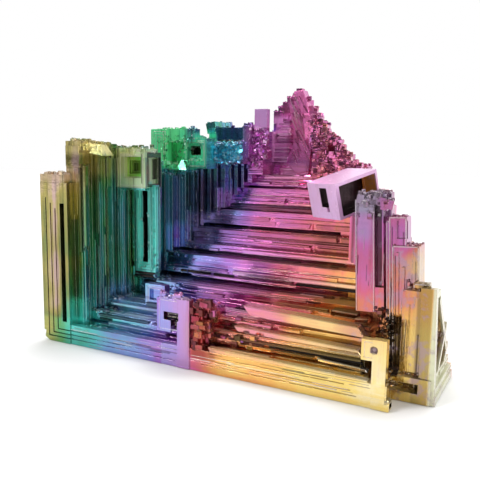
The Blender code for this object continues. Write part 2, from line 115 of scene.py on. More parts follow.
class Graph:
    def __init__(self, tree):
        self.tree = tree
        tree.nodes.clear()

    # a node of a type: its settings first, then the values or links of its sockets
    def node(self, kind, settings=None, inputs=(), output=0):
        made = self.tree.nodes.new(kind)
        for name, value in (settings or {}).items():
            if name == "stops":
                setStops(made.color_ramp.elements, value)
            else:
                setattr(made, name, value)
        pairs = inputs.items() if isinstance(inputs, dict) else enumerate(inputs)
        for key, value in pairs:
            if isinstance(value, Wire):
                self.tree.links.new(value.socket, made.inputs[key])
            else:
                made.inputs[key].default_value = value
        return Wire(self, made.outputs[output]) if len(made.outputs) else None

    def split(self, vector):
        parts = self.node("ShaderNodeSeparateXYZ", {}, [vector])
        return [Wire(self, socket) for socket in parts.socket.node.outputs]

    def vector(self, operation, *inputs, output=0):
        return self.node("ShaderNodeVectorMath", {"operation": operation}, inputs, output)

    # noise from 0 to 1 in millimetres, stretched by its scale along each axis
    def grain(self, place, scale, detail, rough):
        stretched = self.vector("MULTIPLY", place, scale)
        inputs = {"Vector": stretched, "Scale": 1.0, "Detail": detail, "Roughness": rough}
        return self.node("ShaderNodeTexNoise", {"noise_dimensions": "3D"}, inputs)

    def mixColour(self, factor, first, second):
        inputs = {0: factor, 6: first, 7: second}
        return self.node("ShaderNodeMix", {"data_type": "RGBA"}, inputs, output=2)

    def mixValue(self, factor, first, second):
        return self.node("ShaderNodeMix", {"data_type": "FLOAT"}, {0: factor, 2: first, 3: second})


# a screen colour from 0 to 1 as the linear one that shaders take
def linear(colour):
    steps = [c / 12.92 if c <= 0.04045 else ((c + 0.055) / 1.055) ** 2.4 for c in colour]
    return (*steps, 1.0)


def setStops(elements, stops):
    while len(elements) < len(stops):
        elements.new(0.5)
    for element, (position, colour) in zip(elements, stops):
        element.position = position
        element.color = linear(colour)


def newMaterial(name):
    material = bpy.data.materials.new(name)
    material.use_nodes = True
    return material, Graph(material.node_tree)


blockTurn = (14.9, -0.3, -27.7)  # degrees, of the single block that grew askew
straight = (0, 0, 0)
tintNames = ("film_shift", "film_tone")  # how the film differs on single growths

film = {
    # film thickness, as a share of the thickest, and the colour that it gives
    "colours": [
        (0, (0.95, 0.9, 0.76)), (0.07, (0.93, 0.82, 0.47)),
        (0.16, (0.92, 0.69, 0.38)), (0.23, (0.88, 0.53, 0.4)),
        (0.3, (0.86, 0.42, 0.55)), (0.39, (0.82, 0.45, 0.73)),
        (0.47, (0.64, 0.42, 0.75)), (0.54, (0.52, 0.53, 0.81)),
        (0.61, (0.47, 0.66, 0.82)), (0.68, (0.36, 0.74, 0.76)),
        (0.75, (0.3, 0.68, 0.58)), (0.81, (0.38, 0.62, 0.38)),
        (0.88, (0.58, 0.6, 0.34)), (0.93, (0.72, 0.67, 0.38)),
        (0.97, (0.8, 0.72, 0.54)), (1, (0.84, 0.72, 0.68)),
    ],
    # how thick the film grew at some places: x, y, z, thickness
    "places": [
        (1, 0, 2, 0.9), (2, 0, 8, 0.95), (2, 0, 14, 0.94),
        (5, 0, 4, 0.8), (8, 0, 3, 0.69), (3, 0, 24, 0.92),
        (2, 0, 32, 0.96), (6, 2, 36, 0.95), (7, 5, 22, 0.81),
        (10, 9, 16, 0.76), (11, 12, 24, 0.7), (12, 14, 35, 0.84),
        (15, 12, 20, 0.69), (14, 20, 30, 0.64), (12, 22, 42, 0.77),
        (21, 23, 37, 0.74), (26, 28, 42, 0.68), (26, 27, 36, 0.58),
        (24, 27, 30, 0.53), (38, 30, 23, 0.33), (33, 29, 44, 0.46),
        (39, 37, 44, 0.34), (34, 30, 33, 0.37), (46, 28, 31, 0.295),
        (50, 32, 38, 0.33), (24, 18, 18, 0.53), (36, 16, 17, 0.43),
        (48, 16, 17, 0.31), (57, 15, 14, 0.15), (54, 22, 21, 0.235),
        (50, 27, 25, 0.28), (12, 8, 8, 0.63), (15, 5, 5, 0.63),
        (26, 8, 8, 0.54), (36, 11, 11, 0.41), (44, 9, 9, 0.29),
        (56, 8, 9, 0.13), (20, 0, 2, 0.58), (30, 0, 6, 0.52),
        (36, 1, 6, 0.23), (38, 4, 7, 0.27), (43, 0, 2, 0.15),
        (56, 0, 2, 0.07), (67, 1, 5, 0.05), (62, 11, 26, 0.42),
        (62, 11, 18, 0.37), (63, 11, 12, 0.25), (68, 10, 25, 0.41),
        (69, 9, 17, 0.25), (72, 9, 20, 0.07), (70, 9, 10, 0.12),
        (74, 8, 8, 0.04), (37, 50, 20, 0.44), (10, 48, 8, 0.66),
        (64, 48, 8, 0.22),
    ],
    "reach": 2.2,  # how far around a place its thickness holds, mm
    "fade": -4.0,  # power of the distance by which a place counts less further off
    # middle and half size of a patch that differs from the film round it, how softly it ends,
    # its colour, how much of it, how dull it is, and its turn if it has one
    "patches": [
        ((56, 16.2, 30.8), (4.1, 5.6, 3.9), 0.5, (0.93, 0.78, 0.94), 0.8, 0.9, blockTurn),
        ((59.45, 19.13, 32.13), (1.9, 1, 2.4), 0.6, (0.86, 0.58, 0.2), 0.95, 0.6, blockTurn),
        ((14.3, 12.4, 34.4), (3.8, 3.4, 4.2), 0.5, (0.86, 0.92, 0.72), 0.75, 0.6),
        ((14.8, 11.8, 34.6), (2.1, 1.6, 2.1), 0.3, (0.42, 0.84, 0.2), 0.85, 0.4),
        ((11.5, 11, 35.2), (5, 9, 4.4), 3, (0.68, 0.64, 0.34), 0.5, 0.35),
        ((9.5, 5, 38.4), (6, 5, 2.6), 2, (0.92, 0.85, 0.56), 0.7, 0.5),
        ((3.4, 1, 33), (4.4, 1.8, 1.9), 1.2, (0.88, 0.76, 0.64), 0.75, 0.5),
        ((14.6, 24, 39), (5.4, 4.8, 5.6), 1.4, (0.4, 0.96, 0.64), 0.88, 0.6),
        ((20.6, 25, 38.2), (3.8, 3.6, 4.2), 1.4, (0.32, 0.9, 0.68), 0.8, 0.55),
        ((26.6, 26.6, 37.6), (4.6, 2.8, 2.6), 1.6, (0.16, 0.8, 0.92), 0.75, 0.35),
        ((16.1, 12.4, 22), (3.3, 1.4, 10), 0.8, (0.42, 0.9, 0.82), 0.7, 0.45),
        ((31.6, 0.5, 6.4), (3.4, 1, 6.8), 0.6, (0.62, 0.63, 0.86), 0.6, 0.35),
        ((61.6, 11.5, 30), (3, 3.4, 2.6), 1.4, (0.56, 0.56, 0.62), 0.8, 0.3),
        ((61.6, 10, 26.4), (2.4, 1.2, 3.6), 1.8, (0.56, 0.56, 0.68), 0.6, 0.25),
        ((69.4, 9, 20), (2.6, 1.8, 3), 1.8, (0.68, 0.58, 0.6), 0.5, 0.25),
        ((67, 0.4, 7.6), (2.4, 1.2, 3.6), 1.4, (0.92, 0.82, 0.68), 0.6, 0.35),
        ((66.9, 0.4, 8.95), (0.7, 0.9, 0.6), 0.3, (0.46, 0.37, 0.46), 0.85, 0.3),
        ((39.5, 36, 44), (4.4, 2.6, 8.6), 1.6, (0.92, 0.46, 0.72), 0.5, 0.4),
        ((37.5, 33.5, 34), (5, 3, 2.6), 1.8, (0.93, 0.56, 0.78), 0.55, 0.5),
        ((25, 29, 25.5), (3.5, 3.2, 5.5), 2.4, (0.8, 0.5, 0.8), 0.5, 0.4),
        ((72.6, 8.5, 11), (2.2, 3, 9), 1.6, (0.68, 0.58, 0.44), 0.6, 0.15),
        ((72.6, 13, 9), (1.4, 8, 10), 0.4, (0.42, 0.33, 0.12), 0.6, 0.1),
        ((74.6, 12, 10), (0.9, 8, 12), 0.4, (0.8, 0.84, 0.76), 0.75, 0.55),
        # painted shade: a dark patch deep on the left wall
        ((19.5, 22, 27.8), (5, 6.4, 6.4), 2.4, (0.1, 0.2, 0.26), 0.6, 0.15),
        ((9.4, 8, 20), (4.2, 5.6, 14), 2.4, (0.24, 0.46, 0.26), 0.45, 0.15),
        ((34.4, 35.6, 40.6), (2.9, 2.6, 5.6), 1.4, (0.96, 0.66, 0.9), 0.75, 0.65),
        ((32.6, 28.8, 38.6), (3.2, 2.8, 5.2), 1.6, (0.84, 0.42, 0.76), 0.65, 0.25),
        ((33.1, 29.5, 45), (1.9, 1.6, 2.6), 0.6, (0.9, 0.68, 0.92), 0.75, 0.6),
        ((22, 26, 20.5), (4, 5, 5.4), 2.4, (0.72, 0.64, 0.9), 0.65, 0.65),
        ((12.6, 9.6, 8.6), (4.6, 4.6, 3.2), 2.4, (0.46, 0.68, 0.88), 0.5, 0.45),
        ((8, 2, 5.6), (3.6, 3.4, 4.6), 2.4, (0.34, 0.86, 0.8), 0.55, 0.4),
        ((64.6, 12, 29.6), (2.2, 2.8, 3.2), 1.4, (0.42, 0.4, 0.5), 0.7, 0.2),
        ((58.2, 15.5, 22.4), (0.9, 2, 5.6), 0.8, (0.34, 0.16, 0.2), 0.75, 0.15),
        ((36.2, 2.6, 7.4), (2.4, 3.2, 5.8), 1.2, (0.66, 0.13, 0.16), 0.85, 0.15),
        ((37.4, 0.6, 3.2), (2.8, 1.2, 1.6), 1, (0.52, 0.25, 0.18), 0.6, 0.15),
        ((51.5, 24, 20.6), (5, 5, 3.6), 2.4, (0.55, 0.22, 0.2), 0.45, 0.1),
        ((38.5, 30, 23), (6, 3, 2.6), 2, (0.58, 0.18, 0.4), 0.4, 0.1),
    ],
    # middle and half size of a hollow darkened with painted shade, how dark, and its turn if it
    # has one
    "paintedShades": [
        ((54.68, 13.04, 30.67), (1.08, 1.5, 1.98), 0.98, blockTurn),
        ((57.79, 15.35, 30.88), (1.47, 3.95, 2.86), 0.98, blockTurn),
        ((30.8, 1.25, 8.4), (1.66, 1.1, 1.3), 0.95),
        ((27.4, 5, 6.6), (2.2, 2.5, 1.2), 0.96),
        ((14.8, 12.4, 34.5), (1.3, 1.6, 1.3), 0.45),
        ((17.6, 13, 34), (0.5, 2.3, 3.4), 0.65),
        ((17.3, 23, 35.2), (1.8, 1.8, 1), 0.35),
        ((26.5, 31, 41.6), (3.2, 3.4, 1.9), 0.88),
        ((20.9, 24.6, 37.9), (1.2, 1.6, 1), 0.9),
        ((15.95, 14.2, 22.6), (0.75, 1.9, 7.4), 0.92),
        ((5.6, 1.2, 15.9), (0.62, 1, 11.7), 0.8),
        ((63.95, 11.5, 21.4), (0.62, 0.9, 8.6), 0.85, (0, -2.8, 0)),
        ((66.6, 5.6, 8), (2.6, 3.6, 4.4), 0.85),
        ((64.6, 9.8, 10.4), (3.4, 1.4, 1.3), 0.85),
        ((70.4, 6.9, 2.5), (2.2, 1.2, 0.9), 0.15),
    ],
    "shadeSoft": 0.06,  # how softly those hollows end, mm
    "paintedShadeBlack": (0.02, 0.012, 0.01, 1.0),
    # noise: its scale along x, y and z in 1/mm, detail and roughness
    "grains": {
        "coarseAcross": ((0.035, 1.3, 1.3), 3.0, 0.6),
        "coarseUp": ((1.3, 1.3, 0.03), 3.0, 0.6),
        "fineAcross": ((0.09, 4.6, 4.6), 2.0, 0.6),
        "fineUp": ((4.6, 4.6, 0.08), 2.0, 0.6),
        "cloud": ((0.16, 0.16, 0.16), 3.0, 0.55),
        "panel": ((0.42, 0.42, 0.012), 1.0, 0.5),
        "mottle": ((0.9, 0.9, 0.9), 4.0, 0.65),
    },
    # how far the noise, and lying flat, shift the thickness
    "shifts": {"cloud": 0.16, "coarse": 0.14, "mottle": 0.06, "panel": 0.34, "flat": 0.03},
    # painted shade: dark streaks in the gaps between the layers, what makes them and where they
    # end
    "streak": {"coarse": 0.65, "fine": 0.35, "ends": (0.36, 0.50)},
    "streakFlat": 0.25,  # how dark on flat faces
    "streakUpright": 0.60,  # how much darker on upright ones
    "linedLeast": 0.14,  # how many of them smooth plates show
    "linedMore": 0.66,  # how many more the left wall shows
    "linedHollow": 0.45,  # the hollow's share of that
    # painted shade: the left wall darker below some heights, and the columns darker towards their
    # tops
    "wallPaintedShade": 0.32, "wallPaintedShadeHeights": (24.0, 38.0),
    "columnPaintedShade": 0.22, "columnPaintedShadeMore": 0.20, "columnPaintedShadeHeights": (13.0, 22.0),
    # smoky stains on the columns
    "stainEnds": (0.50, 0.60), "stain": 0.55, "stainColour": (0.60, 0.52, 0.60),
    # what paler and darker single growths turn to; the darker also paints shade on the floor's
    # shadowed courses and treads
    "paleGrowth": (0.86, 0.84, 0.84), "darkGrowthAndShade": (0.012, 0.008, 0.008, 1.0),
    # paler edges, partly worn film and partly painted highlight, which the darkest growths don't
    # show
    "edge": 0.07,  # width, mm
    "edgeBend": (0.02, 0.30), "edgeEven": 0.35, "wearAndHighlight": 0.75, "darkUnworn": 0.6,
    "bareMetalAndHighlight": (0.93, 0.88, 0.82),
    # growth lines in relief
    "bump": 0.06,  # height, mm
    "bumpStrength": 0.8, "relief": {"coarse": 0.6, "fine": 0.4, "mottle": 0.35},
    # roughness, what mottling, streaks and pale patches add to it, and its least
    "roughness": 0.10, "roughMottle": 0.24, "roughStreak": 0.10, "roughPale": 0.08,
    "roughLeast": 0.05,
    "metal": 0.92,
    "flatDull": 0.32,  # how much less of a metal a flat face is
    "coat": 0.20, "coatRoughness": 0.12,
}
flatRise = (0.4, 0.8)  # how level a face is, from upright to flat

# borders of regions that lean with the depth: where one is at the front, how far it moves for
# each millimetre of depth, and how softly it ends, mm
leaningBorders = {
    "hollowLeft": (9.5, 0.36, 1.5),
    "hollowRight": (66.5, 0.58, 1.5),
    "hollowRoof": (7.5, 1.0, 2.0),
    "wallRight": (13.0, 0.42, 1.0),
}
# borders that don't lean: where one is and how softly it ends, mm
borders = {
    "hollowFront": (2.5, 1.0), "rimBack": (2.2, 0.3), "rimTop": (4.2, 0.4),
    "wallFoot": (4.5, 1.0),
    "columnsLeft": (57.0, 4.0), "columnsBack": (24.0, 4.0), "columnsFront": (3.0, 1.0),
}


# the share of the film's greatest thickness at a point of the crystal
def filmField(graph, place):
    total, weights = None, None
    for x, y, z, thickness in film["places"]:
        gap = graph.vector("DISTANCE", place, (x, y, z), output=1)
        weight = (gap + film["reach"]) ** film["fade"]
        total = weight * thickness if total is None else total + weight * thickness
        weights = weight if weights is None else weights + weight
    return total / weights


# 1 inside a turned box, 0 outside
def boxMask(graph, place, middle, half, soft, turn=straight):
    fromMiddle = graph.vector("SUBTRACT", place, middle)
    if any(turn):
        axes = [tuple(axis) for axis in turnMatrix(turn).col]
        along = [graph.vector("DOT_PRODUCT", fromMiddle, axis, output=1) for axis in axes]
        fromMiddle = graph.node("ShaderNodeCombineXYZ", {}, along)
    away = graph.vector("ABSOLUTE", fromMiddle)
    inner = tuple(reach - soft for reach in half)
    settings = {"data_type": "FLOAT_VECTOR", "interpolation_type": "SMOOTHSTEP"}
    ends = {6: away, 7: inner, 8: half, 9: (1.0, 1.0, 1.0), 10: (0.0, 0.0, 0.0)}
    sides = graph.node("ShaderNodeMapRange", settings, ends, output=1)
    across, deep, up = graph.split(sides)
    return across * deep * up


def strongest(first, second):
    return second if first is None else first.math("MAXIMUM", second)


def beyond(value, border):
    place, soft = borders[border]
    return (value - place).rise(0.0, soft)


def before(value, border):
    place, soft = borders[border]
    return (place - value).rise(0.0, soft)


# how much a point belongs to the hollow, the rim, the left wall and the columns
def regionMasks(x, y, z):
    start, slope, soft = leaningBorders["hollowLeft"]
    hollow = (x - start - slope * y).rise(0.0, soft)
    start, slope, soft = leaningBorders["hollowRight"]
    hollow = hollow * (start - slope * y - x).rise(0.0, soft)
    start, slope, soft = leaningBorders["hollowRoof"]
    hollow = hollow * (start + slope * y - z).rise(0.0, soft)
    hollow = hollow * beyond(y, "hollowFront")
    rim = before(y, "rimBack") * before(z, "rimTop")
    start, slope, soft = leaningBorders["wallRight"]
    wall = (start + slope * y - x).rise(-soft, soft) * beyond(z, "wallFoot")
    columns = beyond(x, "columnsLeft") * before(y, "columnsBack") * beyond(y, "columnsFront")
    return hollow, rim, wall, columns


def filmMaterial():
    material, graph = newMaterial("bismuth_film")
    spot = graph.node("ShaderNodeTexCoord", {}, output=3)
    inMillimetres = {0: spot, "Scale": 1 / mm}
    spot = graph.node("ShaderNodeVectorMath", {"operation": "SCALE"}, inMillimetres)
    place = graph.vector("ADD", spot, (width / 2, depth / 2, 0))
    x, y, z = graph.split(place)
    normal = graph.node("ShaderNodeNewGeometry", output=1)
    flat = graph.split(normal)[2].math("ABSOLUTE").rise(*flatRise)
    hollow, rim, leftWall, columns = regionMasks(x, y, z)

    # inside the hollow and on the rim the growth lines run across, elsewhere they run up
    across = hollow.math("MAXIMUM", rim)
    grains = {name: graph.grain(place, *look) for name, look in film["grains"].items()}
    coarse = graph.mixValue(across, grains["coarseUp"], grains["coarseAcross"])
    fine = graph.mixValue(across, grains["fineUp"], grains["fineAcross"])
    cloud, panel, mottle = grains["cloud"], grains["panel"], grains["mottle"]

    shift, tone = [
        graph.node("ShaderNodeAttribute", {"attribute_name": name}, output=2) for name in tintNames
    ]
    shifts = film["shifts"]
    thickness = filmField(graph, place) + (cloud - 0.5) * shifts["cloud"]
    thickness = thickness + (coarse - 0.5) * shifts["coarse"] + (mottle - 0.5) * shifts["mottle"]
    thickness = thickness + shift - flat * shifts["flat"]
    thickness = thickness + (panel - 0.5) * leftWall * shifts["panel"]
    colour = graph.node("ShaderNodeValToRGB", {"stops": film["colours"]}, [thickness])

    pale, dull, deep = None, None, None
    for middle, half, soft, hue, share, dullness, *turn in film["patches"]:
        mask = boxMask(graph, place, middle, half, soft, *turn) * share
        colour = graph.mixColour(mask, colour, linear(hue))
        pale = strongest(pale, mask)
        dull = strongest(dull, mask * dullness)
    # painted shade: dark boxes over the hollows, holes and slots
    for middle, half, share, *turn in film["paintedShades"]:
        mask = boxMask(graph, place, middle, half, film["shadeSoft"], *turn) * share
        deep = strongest(deep, mask)

    # painted shade: dark streaks in the gaps between the layers, darkest on upright faces of the
    # hollow and left wall
    weights = film["streak"]
    streak = (coarse * weights["coarse"] + fine * weights["fine"]).rise(*weights["ends"])
    lined = leftWall.math("MAXIMUM", hollow * film["linedHollow"])
    lined = film["linedLeast"] + film["linedMore"] * lined
    paintedDark = (1.0 - streak) * (film["streakFlat"] + film["streakUpright"] * (1.0 - flat)) * lined
    # painted shade on the lower left wall and on the columns
    low = 1.0 - z.rise(*film["wallPaintedShadeHeights"])
    columnPaintedShade = film["columnPaintedShade"] + z.rise(*film["columnPaintedShadeHeights"]) * film["columnPaintedShadeMore"]
    dim = (leftWall * low * film["wallPaintedShade"] + columns * columnPaintedShade) * (1.0 - pale)
    # the painted shade of the streaks, wall, columns and hollows, mixed towards black
    paintedDark = 1.0 - (1.0 - paintedDark) * (1.0 - dim) * (1.0 - deep)
    colour = graph.mixColour(paintedDark, colour, film["paintedShadeBlack"])

    stain = columns * (cloud * 0.5 + mottle * 0.5).rise(*film["stainEnds"]) * film["stain"]
    colour = graph.mixColour(stain, colour, linear(film["stainColour"]))
    lighter, darker = tone.math("MAXIMUM", 0.0), (0.0 - tone).math("MAXIMUM", 0.0)
    colour = graph.mixColour(lighter, colour, linear(film["paleGrowth"]))
    colour = graph.mixColour(darker, colour, film["darkGrowthAndShade"])

    rounded = graph.node("ShaderNodeBevel", {"samples": 4}, [film["edge"] * mm])
    bend = 1.0 - graph.vector("DOT_PRODUCT", rounded, normal, output=1)
    # paler edges: worn film and a painted highlight
    wearAndHighlight = bend.rise(*film["edgeBend"]) * (film["edgeEven"] + (1 - film["edgeEven"]) * mottle)
    wearAndHighlight = wearAndHighlight * (1.0 - (0.0 - tone).rise(0.0, film["darkUnworn"]))
    colour = graph.mixColour(wearAndHighlight * film["wearAndHighlight"], colour, linear(film["bareMetalAndHighlight"]))

    weights = film["relief"]
    relief = coarse * weights["coarse"] + fine * weights["fine"] + mottle * weights["mottle"]
    bumpInputs = {
        "Strength": film["bumpStrength"],
        "Distance": film["bump"] * mm,
        "Height": relief,
        "Normal": rounded,
    }
    rough = film["roughness"] + (mottle - 0.5) * film["roughMottle"]
    rough = rough + (1.0 - streak) * film["roughStreak"] + pale * film["roughPale"]
    dull = (flat * film["flatDull"]).math("MAXIMUM", dull)
    shaderInputs = {
        "Base Color": colour,
        "Metallic": film["metal"] - dull * (1.0 - deep),
        "Roughness": rough.math("MAXIMUM", film["roughLeast"]),
        "Coat Weight": film["coat"] * (1.0 - deep),
        "Coat Roughness": film["coatRoughness"],
        "Normal": graph.node("ShaderNodeBump", {}, bumpInputs),
    }
    shader = graph.node("ShaderNodeBsdfPrincipled", {}, shaderInputs)
    graph.node("ShaderNodeOutputMaterial", {}, {"Surface": shader})
    return material


# a mesh with the film on it, as a piece of the crystal
def addPiece(name, mesh, material):
    mesh.materials.append(material)
    piece = bpy.data.objects.new(name, mesh)
    bpy.context.collection.objects.link(piece)
    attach(piece, "root")


# the template of a block with its edges cut off: signs of each point's corner, and the
# axis along which the point reaches the face
blockCorners = [(x, y, z) for x in (-1, 1) for y in (-1, 1) for z in (-1, 1)]


# the first of a corner's three points, by its sides along one axis and the two after it
def cornerPoint(axis, *sides):
    corner = [0, 0, 0]
    for offset, side in enumerate(sides):
        corner[(axis + offset) % 3] = side
    return 3 * blockCorners.index(tuple(corner))


def blockTemplate():
    signs = numpy.repeat(numpy.array(blockCorners, dtype=float), 3, axis=0)
    reaches = numpy.tile(numpy.eye(3), (8, 1))
    faces = []
    for axis in range(3):
        one, two = (axis + 1) % 3, (axis + 2) % 3
        for side in (-1, 1):
            around = ((-1, -1), (1, -1), (1, 1), (-1, 1))
            ring = [cornerPoint(axis, side, a, b) + axis for a, b in around]
            faces.append(ring if side > 0 else ring[::-1])
        for a, b in ((-1, -1), (-1, 1), (1, -1), (1, 1)):
            first, last = (cornerPoint(axis, side, a, b) for side in (-1, 1))
            ring = [first + one, first + two, last + two, last + one]
            faces.append(ring if a * b < 0 else ring[::-1])
    for index, corner in enumerate(blockCorners):
        ring = [3 * index, 3 * index + 1, 3 * index + 2]
        faces.append(ring if math.prod(corner) > 0 else ring[::-1])
    return signs, reaches, faces


blockSigns, blockReaches, blockFaces = blockTemplate()

mostCut = 0.35  # share of a block's half thickness that its cut edges may take
sideMargin = 0.02  # how far growths keep inside the crystal's box, mm


# many small growths that become one piece of the crystal
class Crust:
    def __init__(self, name, seed):
        self.name = name
        self.dice = random.Random(seed)
        self.points = []
        self.tints = []

    # a block with cut edges, from its low to its high corner; slant pushes the top along x
    def block(self, low, high, cut, turn=straight, slant=0.0, shift=0.0, tone=0.0):
        low, high = numpy.array(low, dtype=float), numpy.array(high, dtype=float)
        half = (high - low) / 2
        inner = half - min(cut, mostCut * half.min())
        points = blockSigns * (inner + (half - inner) * blockReaches)
        points[:, 0] += slant * points[:, 2]
        if any(turn):
            points = points @ numpy.array(turnMatrix(turn)).T
        points += (low + high) / 2
        self.points.append(points)
        self.tints.append((shift, tone))

    def finish(self, material):
        count, size = len(self.points), len(blockSigns)
        lowest = (sideMargin, sideMargin, 0.0)
        highest = (width - sideMargin, depth - sideMargin, height)
        places = numpy.clip(numpy.concatenate(self.points), lowest, highest)
        places = (places - (width / 2, depth / 2, 0)) * mm
        starts = range(0, size * count, size)
        faces = [[start + index for index in ring] for start in starts for ring in blockFaces]
        mesh = bpy.data.meshes.new(self.name)
        mesh.from_pydata(places.tolist(), [], faces)
        for name, tints in zip(tintNames, zip(*self.tints)):
            values = numpy.repeat(tints, len(blockFaces))
            mesh.attributes.new(name, "FLOAT", "FACE").data.foreach_set("value", values)
        addPiece(self.name, mesh, material)
        print(self.name, "grown from", count, "blocks")


solid = BVHTree.FromPolygons(
    [corner.co for corner in crystalNode.data.vertices],
    [face.vertices for face in crystalNode.data.polygons],
)
# looks at the crystal: the axis along which each goes, and which way
fromLeft, fromRight = (0, 1), (0, -1)
fromFront, fromBehind = (1, 1), (1, -1)
fromTop = (2, -1)
squareOn = 0.9  # how squarely a face has to meet a look


# where a look meets the crystal, in mm, or nothing if that face is askew
def meet(start, look):
    axis, way = look
    direction = Vector((0, 0, 0))
    direction[axis] = way
    place, normal, _, _ = solid.ray_cast(toFrame(start), direction)
    if place is None or normal[axis] * way > -squareOn:
        return None
    return place[axis] / mm + (width / 2, depth / 2, 0)[axis]


def anywhere(x, y, z):
    return True


courses = {
    "step": 0.45,  # how often a course feels for the face behind it, mm
    "uneven": (0.85, 1.15),  # by how much courses differ in thickness
    "lean": 1.2,  # how far the ends of a growth may slant
    "root": 0.3,  # how deep a growth stands in its face, mm
}


# tone and thicknesses of the courses at a level
def courseBand(plan, level):
    for top, tone, thicks in plan.get("bands", ()):
        if level < top:
            return tone, thicks
    return 0.0, plan.get("thick")


# courses of long thin growths on the faces that a look meets: each runs until the face behind
# it jumps, then the next starts
def layCourses(crust, plan):
    dice = crust.dice
    (axis, way), run = plan["look"], plan["run"]
    cross = 3 - axis - run
    lowest, highest = plan["low"], plan["high"]
    keep = plan.get("keep", anywhere)
    step = courses["step"]
    level = lowest[cross]
    while level < highest[cross]:
        tone, thicks = courseBand(plan, level)
        thick = dice.choice(thicks) * dice.uniform(*courses["uneven"])
        gap = dice.uniform(*plan["gap"])
        place = [0.0, 0.0, 0.0]
        place[cross] = level + thick / 2
        place[run] = lowest[run]
        start, face, wanted = None, None, 0.0
        while place[run] < highest[run] + step:
            place[axis] = lowest[axis] if way > 0 else highest[axis]
            now = meet(place, plan["look"]) if place[run] < highest[run] else None
            if now is not None:
                place[axis] = now
                if not lowest[axis] <= now <= highest[axis] or not keep(*place):
                    now = None
            ended = start is not None and (
                now is None or abs(now - face) > plan["even"] or place[run] - start > wanted
            )
            if ended:
                layBar(crust, plan, (start, place[run] - step), (level, level + thick), face, tone)
                start = None
                place[run] += dice.choice(plan["pause"])
            elif start is None and now is not None:
                start, face, wanted = place[run], now, dice.uniform(*plan["length"])
            place[run] += step
        level += thick + gap


def layBar(crust, plan, ends, levels, face, tone):
    dice = crust.dice
    (axis, way), run = plan["look"], plan["run"]
    cross = 3 - axis - run
    proud, lean = dice.uniform(*plan["proud"]), dice.uniform(-courses["lean"], courses["lean"])
    shift, tone = dice.gauss(0, plan["shift"]), tone + dice.choice(plan["tone"])
    for low, high, treadTone in plan.get("treads", ()):
        if low < face < high:
            tone += treadTone
    if ends[1] - ends[0] < plan["length"][0] or dice.random() < plan["skip"]:
        return
    low, high = [0, 0, 0], [0, 0, 0]
    low[run], high[run] = ends
    low[cross], high[cross] = levels
    low[axis], high[axis] = sorted((face - way * proud, face + way * courses["root"]))
    slant = lean if (run, axis) == (0, 1) else 0.0
    crust.block(low, high, plan["cut"], slant=slant, shift=shift, tone=tone)


# growths of the hollow stay clear of the wall on the left and the columns on the right: each
# border where it is at the front, and how far it moves for each millimetre of depth
growthBorders = {"left": (9.5, 0.36), "right": (66.0, 0.40), "roof": (2.9, 0.9)}


def inHollow(x, y, z):
    (left, leftSlope), (right, rightSlope) = growthBorders["left"], growthBorders["right"]
    roof, roofSlope = growthBorders["roof"]
    return left + leftSlope * y < x < right - rightSlope * y and z < roof + roofSlope * y


